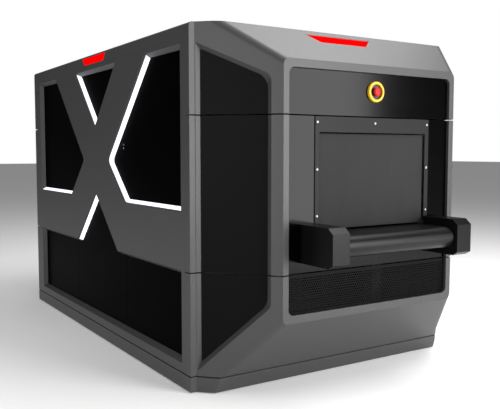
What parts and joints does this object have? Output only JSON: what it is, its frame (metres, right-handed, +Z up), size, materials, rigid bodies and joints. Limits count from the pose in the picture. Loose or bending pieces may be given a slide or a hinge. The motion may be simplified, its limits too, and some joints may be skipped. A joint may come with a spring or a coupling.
{
  "type": "ct scanner",
  "caption": "Checkpoint CT baggage scanner: a long cabinet with crossed side covers, a conveyor tunnel with hanging curtains and a spinning X-ray gantry inside.",
  "frame": {"origin": "on the floor, under the middle of the cabinet's bounding box", "axes": "+Z up, +Y along the belt from the entry end to the exit end, -X is the left side"},
  "size_m": [1.4, 3.172, 1.553],
  "materials": {
    "cover_paint": "fine textured satin paint",
    "black_gloss": "gloss black",
    "grille_black": "matt black, perforated",
    "trim_grey": "satin dark grey",
    "light_strip": "glowing white diffuser",
    "red_lamp": "lit red lens",
    "curtain_rubber": "matt lead rubber",
    "stop_yellow": "moulded",
    "stop_red": "moulded",
    "housing_black": "textured black paint",
    "belt_rubber": "matt black",
    "steel": "ground",
    "zinc": "zinc plated",
    "window_sheet": "carbon-free beam window sheet",
    "frame_paint": "powder coated",
    "shield_paint": "lead sheet bonded to painted steel",
    "liner": "glass-fibre liner",
    "cast": "painted casting",
    "alloy": "machined",
    "tube_white": "enamel",
    "brass": "ring tracks",
    "motor_paint": "machinery enamel"
  },
  "bodies": {
    "cabinet": {"base_frame": "frame_paint", "levelling_feet": "zinc", "front_upper_shell": "cover_paint", "front_middle_shell": "cover_paint", "front_lower_shell": "cover_paint", "rear_upper_shell": "cover_paint", "rear_middle_shell": "cover_paint", "rear_lower_shell": "cover_paint", "plinths": "cover_paint", "roof_panel": "cover_paint", "left_side_cover": "cover_paint", "right_side_cover": "cover_paint", "left_side_panels": "black_gloss", "right_side_panels": "black_gloss", "light_strips": "light_strip", "status_lights": "red_lamp", "corner_insets": "black_gloss", "panel_locks": "zinc", "front_face_panel": "black_gloss", "rear_face_panel": "black_gloss", "front_tunnel_panel": "black_gloss", "rear_tunnel_panel": "black_gloss", "grilles": "grille_black", "tunnel_trims": "trim_grey", "trim_screws": "zinc", "curtain_brackets": "zinc", "stop_collars": "stop_yellow", "front_conveyor_housings": "housing_black", "rear_conveyor_housings": "housing_black", "conveyor_rails": "alloy", "bed_plates": "steel", "scan_window": "window_sheet", "conveyor_belt": "belt_rubber", "nose_bearings": "steel", "drum_stator": "steel", "roller_brackets": "zinc", "front_shield": "shield_paint", "rear_shield": "shield_paint", "bore_liner": "liner", "gantry_stand": "cast", "gantry_bearing": "steel", "brush_block": "window_sheet", "gantry_motor": "motor_paint", "gantry_belt": "belt_rubber", "control_cabinet": "frame_paint"},
    "rotor": {"gantry_rotor": "alloy", "x_ray_tube": "tube_white", "detector_arc": "alloy", "hv_generator": "tube_white", "counterweight": "cast", "slip_ring": "brass"},
    "pulley": {"motor_pulley": "steel"},
    "drum": {"drive_drum": "steel"},
    "front_roller": {"nose_roller": "steel"},
    "front_return": {"front_return_roller": "steel"},
    "rear_return": {"rear_return_roller": "steel"},
    "curtain_front": {"front_curtain": "curtain_rubber"},
    "curtain_rear": {"rear_curtain": "curtain_rubber"},
    "button_front": {"front_stop_button": "stop_red"},
    "button_rear": {"rear_stop_button": "stop_red"}
  },
  "joints": [
    {"name": "gantry_spin", "type": "hinge", "parent": "cabinet", "child": "rotor", "pos_m": [0.092, 0, 0.848], "axis": [0, 1, 0], "continuous": true},
    {"name": "pulley_spin", "type": "hinge", "parent": "cabinet", "child": "pulley", "pos_m": [-0.4, 0.11, 0.3], "axis": [0, 1, 0], "continuous": true},
    {"name": "drum_spin", "type": "hinge", "parent": "cabinet", "child": "drum", "pos_m": [0.092, 1.525, 0.638], "axis": [-1, 0, 0], "continuous": true},
    {"name": "front_roller_spin", "type": "hinge", "parent": "cabinet", "child": "front_roller", "pos_m": [0.092, -1.525, 0.638], "axis": [-1, 0, 0], "continuous": true},
    {"name": "front_return_spin", "type": "hinge", "parent": "cabinet", "child": "front_return", "pos_m": [0.092, -0.7, 0.5707], "axis": [-1, 0, 0], "continuous": true},
    {"name": "rear_return_spin", "type": "hinge", "parent": "cabinet", "child": "rear_return", "pos_m": [0.092, 0.7, 0.5707], "axis": [-1, 0, 0], "continuous": true},
    {"name": "front_curtain_swing", "type": "hinge", "parent": "cabinet", "child": "curtain_front", "pos_m": [0.092, -1.37, 1.096], "axis": [1, 0, 0], "range_deg": [-70, 70]},
    {"name": "rear_curtain_swing", "type": "hinge", "parent": "cabinet", "child": "curtain_rear", "pos_m": [0.092, 1.37, 1.096], "axis": [1, 0, 0], "range_deg": [-70, 70]},
    {"name": "front_stop_press", "type": "slide", "parent": "cabinet", "child": "button_front", "axis": [0, 1, 0], "range_m": [0, 0.005], "stiffness_N_per_m": 900},
    {"name": "rear_stop_press", "type": "slide", "parent": "cabinet", "child": "button_rear", "axis": [0, -1, 0], "range_m": [0, 0.005], "stiffness_N_per_m": 900}
  ],
  "couplings": [
    {"joint": "pulley_spin", "follows": "gantry_spin", "ratio": 13.056},
    {"joint": "front_roller_spin", "follows": "drum_spin", "ratio": 1},
    {"joint": "front_return_spin", "follows": "drum_spin", "ratio": -2.275},
    {"joint": "rear_return_spin", "follows": "drum_spin", "ratio": -2.275}
  ]
}
